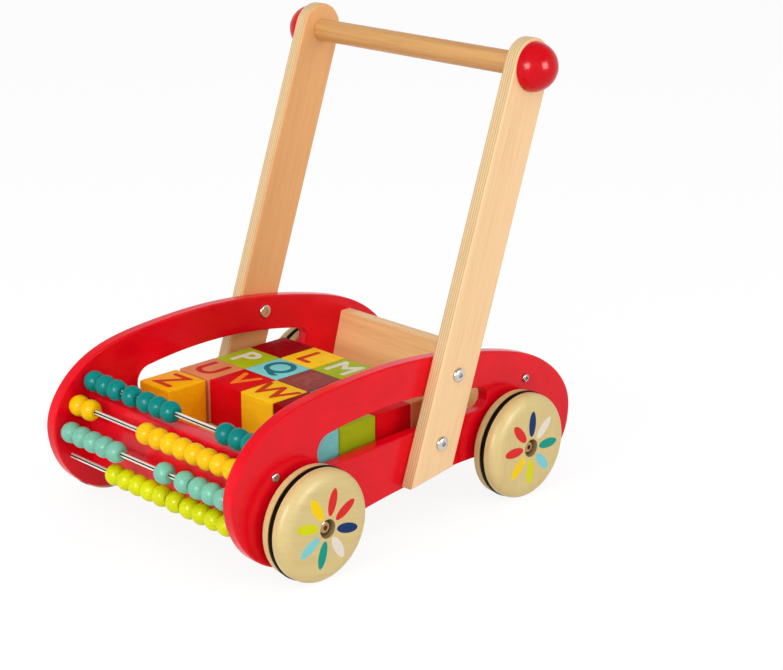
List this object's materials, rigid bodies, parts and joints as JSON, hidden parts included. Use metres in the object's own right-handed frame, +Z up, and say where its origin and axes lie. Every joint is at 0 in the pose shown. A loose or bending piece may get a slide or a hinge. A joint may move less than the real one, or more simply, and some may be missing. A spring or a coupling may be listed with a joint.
{
  "type": "baby walker",
  "caption": "Wooden push-along baby walker: arched side panels with curved windows, block tray, bead abacus at the front, leaning handle posts with a round bar, ring-tyred wheels.",
  "frame": {"origin": "on the ground, half way between the nose and the tail of the side panels, on the middle plane", "axes": "+Z up, -Y towards the abacus at the front, +X towards the left of the child who pushes from behind"},
  "size_m": [0.2994, 0.385, 0.3874],
  "materials": {
    "red_lacquer": "gloss red lacquer on birch plywood",
    "birch_ply": "clear satin varnish, ply layers on the edges",
    "birch_board": "clear satin varnish",
    "beech": "clear satin varnish",
    "wheel_wood": "clear satin varnish with printed petals",
    "red_gloss": "gloss red lacquer",
    "black_rubber": "plain black rubber ring",
    "zinc_steel": "bright zinc plated",
    "bronzed_steel": "bronze toned plating",
    "rod_steel": "polished",
    "bead_teal": "gloss lacquer",
    "bead_yellow": "gloss lacquer",
    "bead_mint": "gloss lacquer",
    "bead_lime": "gloss lacquer",
    "block_amber": "satin paint",
    "block_sky": "satin paint",
    "block_natural": "bare beech",
    "block_red": "satin paint",
    "block_yellow": "satin paint",
    "block_maroon": "satin paint",
    "block_green": "satin paint",
    "block_brown": "satin paint",
    "block_teal": "satin paint"
  },
  "bodies": {
    "frame": {"side_panel_left": "red_lacquer", "handle_post_left": "birch_ply", "bar_cap_left": "red_gloss", "side_panel_right": "red_lacquer", "handle_post_right": "birch_ply", "bar_cap_right": "red_gloss", "handle_bar": "beech", "tray_floor": "birch_board", "front_board": "red_lacquer", "rear_board": "birch_board", "post_bolts": "zinc_steel", "post_bolt_sleeves": "zinc_steel", "board_screws": "zinc_steel", "axle_bolts": "bronzed_steel", "axle_spacers": "wheel_wood", "axle_inserts": "zinc_steel", "abacus_rod_1": "rod_steel", "abacus_rod_2": "rod_steel", "abacus_rod_3": "rod_steel", "abacus_rod_4": "rod_steel"},
    "front_left_wheel": {"wheel_front_left": "wheel_wood", "tyre_front_left": "black_rubber"},
    "front_right_wheel": {"wheel_front_right": "wheel_wood", "tyre_front_right": "black_rubber"},
    "rear_left_wheel": {"wheel_rear_left": "wheel_wood", "tyre_rear_left": "black_rubber"},
    "rear_right_wheel": {"wheel_rear_right": "wheel_wood", "tyre_rear_right": "black_rubber"},
    "beads_1_1": {"bead_train_1_1": "bead_teal"},
    "beads_1_2": {"bead_train_1_2": "bead_teal"},
    "beads_1_3": {"bead_train_1_3": "bead_teal"},
    "beads_1_4": {"bead_train_1_4": "bead_teal"},
    "beads_2_1": {"bead_train_2_1": "bead_yellow"},
    "beads_2_2": {"bead_train_2_2": "bead_yellow"},
    "beads_3_1": {"bead_train_3_1": "bead_mint"},
    "beads_3_2": {"bead_train_3_2": "bead_mint"},
    "beads_3_3": {"bead_train_3_3": "bead_mint"},
    "beads_3_4": {"bead_train_3_4": "bead_mint"},
    "beads_4_1": {"bead_train_4_1": "bead_lime"},
    "beads_4_2": {"bead_train_4_2": "bead_lime"},
    "beads_4_3": {"bead_train_4_3": "bead_lime"},
    "letter_0_1": {"block_0_1": "block_amber"},
    "letter_0_5": {"block_0_5": "block_sky"},
    "letter_1_1": {"block_1_1": "block_natural"},
    "letter_1_2": {"block_1_2": "block_red"},
    "letter_1_3": {"block_1_3": "block_yellow"},
    "letter_1_4": {"block_1_4": "block_maroon"},
    "letter_1_5": {"block_1_5": "block_green"},
    "letter_2_1": {"block_2_1": "block_green"},
    "letter_2_2": {"block_2_2": "block_sky"},
    "letter_2_3": {"block_2_3": "block_brown"},
    "letter_2_4": {"block_2_4": "block_teal"},
    "letter_2_5": {"block_2_5": "block_red"},
    "letter_3_1": {"block_3_1": "block_maroon"},
    "letter_3_2": {"block_3_2": "block_yellow"},
    "letter_3_3": {"block_3_3": "block_green"},
    "letter_3_4": {"block_3_4": "block_sky"},
    "letter_3_5": {"block_3_5": "block_natural"}
  },
  "joints": [
    {"name": "front_left_wheel_turn", "type": "hinge", "parent": "frame", "child": "front_left_wheel", "pos_m": [0.1332, -0.1224, 0.046], "axis": [1, 0, 0], "continuous": true},
    {"name": "front_right_wheel_turn", "type": "hinge", "parent": "frame", "child": "front_right_wheel", "pos_m": [-0.1332, -0.1224, 0.046], "axis": [1, 0, 0], "continuous": true},
    {"name": "rear_left_wheel_turn", "type": "hinge", "parent": "frame", "child": "rear_left_wheel", "pos_m": [0.1332, 0.1103, 0.046], "axis": [1, 0, 0], "continuous": true},
    {"name": "rear_right_wheel_turn", "type": "hinge", "parent": "frame", "child": "rear_right_wheel", "pos_m": [-0.1332, 0.1103, 0.046], "axis": [1, 0, 0], "continuous": true},
    {"name": "beads_1_1_slide", "type": "slide", "parent": "frame", "child": "beads_1_1", "axis": [1, 0, 0], "range_m": [0, 0.00502]},
    {"name": "beads_1_2_slide", "type": "slide", "parent": "frame", "child": "beads_1_2", "axis": [1, 0, 0], "range_m": [-0.00502, 0.00402]},
    {"name": "beads_1_3_slide", "type": "slide", "parent": "frame", "child": "beads_1_3", "axis": [1, 0, 0], "range_m": [-0.00402, 0.05226]},
    {"name": "beads_1_4_slide", "type": "slide", "parent": "frame", "child": "beads_1_4", "axis": [1, 0, 0], "range_m": [-0.05226, 0]},
    {"name": "beads_2_1_slide", "type": "slide", "parent": "frame", "child": "beads_2_1", "axis": [1, 0, 0], "range_m": [0, 0.05848]},
    {"name": "beads_2_2_slide", "type": "slide", "parent": "frame", "child": "beads_2_2", "axis": [1, 0, 0], "range_m": [-0.05848, 0.00302]},
    {"name": "beads_3_1_slide", "type": "slide", "parent": "frame", "child": "beads_3_1", "axis": [1, 0, 0], "range_m": [0, 0.04647]},
    {"name": "beads_3_2_slide", "type": "slide", "parent": "frame", "child": "beads_3_2", "axis": [1, 0, 0], "range_m": [-0.04647, 0.00989]},
    {"name": "beads_3_3_slide", "type": "slide", "parent": "frame", "child": "beads_3_3", "axis": [1, 0, 0], "range_m": [-0.00989, 0.00198]},
    {"name": "beads_3_4_slide", "type": "slide", "parent": "frame", "child": "beads_3_4", "axis": [1, 0, 0], "range_m": [-0.00198, 0.00297]},
    {"name": "beads_4_1_slide", "type": "slide", "parent": "frame", "child": "beads_4_1", "axis": [1, 0, 0], "range_m": [-0.05133, 0.00201]},
    {"name": "beads_4_2_slide", "type": "slide", "parent": "frame", "child": "beads_4_2", "axis": [1, 0, 0], "range_m": [-0.00201, 0.00201]},
    {"name": "beads_4_3_slide", "type": "slide", "parent": "frame", "child": "beads_4_3", "axis": [1, 0, 0], "range_m": [-0.00201, 0.00604]},
    {"name": "letter_0_1_lift", "type": "slide", "parent": "frame", "child": "letter_0_1", "axis": [0, 0, 1], "range_m": [0, 0.1]},
    {"name": "letter_0_5_lift", "type": "slide", "parent": "frame", "child": "letter_0_5", "axis": [0, 0, 1], "range_m": [0, 0.1]},
    {"name": "letter_1_1_lift", "type": "slide", "parent": "frame", "child": "letter_1_1", "axis": [0, 0, 1], "range_m": [0, 0.1]},
    {"name": "letter_1_2_lift", "type": "slide", "parent": "frame", "child": "letter_1_2", "axis": [0, 0, 1], "range_m": [0, 0.1]},
    {"name": "letter_1_3_lift", "type": "slide", "parent": "frame", "child": "letter_1_3", "axis": [0, 0, 1], "range_m": [0, 0.1]},
    {"name": "letter_1_4_lift", "type": "slide", "parent": "frame", "child": "letter_1_4", "axis": [0, 0, 1], "range_m": [0, 0.1]},
    {"name": "letter_1_5_lift", "type": "slide", "parent": "frame", "child": "letter_1_5", "axis": [0, 0, 1], "range_m": [0, 0.1]},
    {"name": "letter_2_1_lift", "type": "slide", "parent": "frame", "child": "letter_2_1", "axis": [0, 0, 1], "range_m": [0, 0.1]},
    {"name": "letter_2_2_lift", "type": "slide", "parent": "frame", "child": "letter_2_2", "axis": [0, 0, 1], "range_m": [0, 0.1]},
    {"name": "letter_2_3_lift", "type": "slide", "parent": "frame", "child": "letter_2_3", "axis": [0, 0, 1], "range_m": [0, 0.1]},
    {"name": "letter_2_4_lift", "type": "slide", "parent": "frame", "child": "letter_2_4", "axis": [0, 0, 1], "range_m": [0, 0.1]},
    {"name": "letter_2_5_lift", "type": "slide", "parent": "frame", "child": "letter_2_5", "axis": [0, 0, 1], "range_m": [0, 0.1]},
    {"name": "letter_3_1_lift", "type": "slide", "parent": "frame", "child": "letter_3_1", "axis": [0, 0, 1], "range_m": [0, 0.1]},
    {"name": "letter_3_2_lift", "type": "slide", "parent": "frame", "child": "letter_3_2", "axis": [0, 0, 1], "range_m": [0, 0.1]},
    {"name": "letter_3_3_lift", "type": "slide", "parent": "frame", "child": "letter_3_3", "axis": [0, 0, 1], "range_m": [0, 0.1]},
    {"name": "letter_3_4_lift", "type": "slide", "parent": "frame", "child": "letter_3_4", "axis": [0, 0, 1], "range_m": [0, 0.1]},
    {"name": "letter_3_5_lift", "type": "slide", "parent": "frame", "child": "letter_3_5", "axis": [0, 0, 1], "range_m": [0, 0.1]}
  ]
}
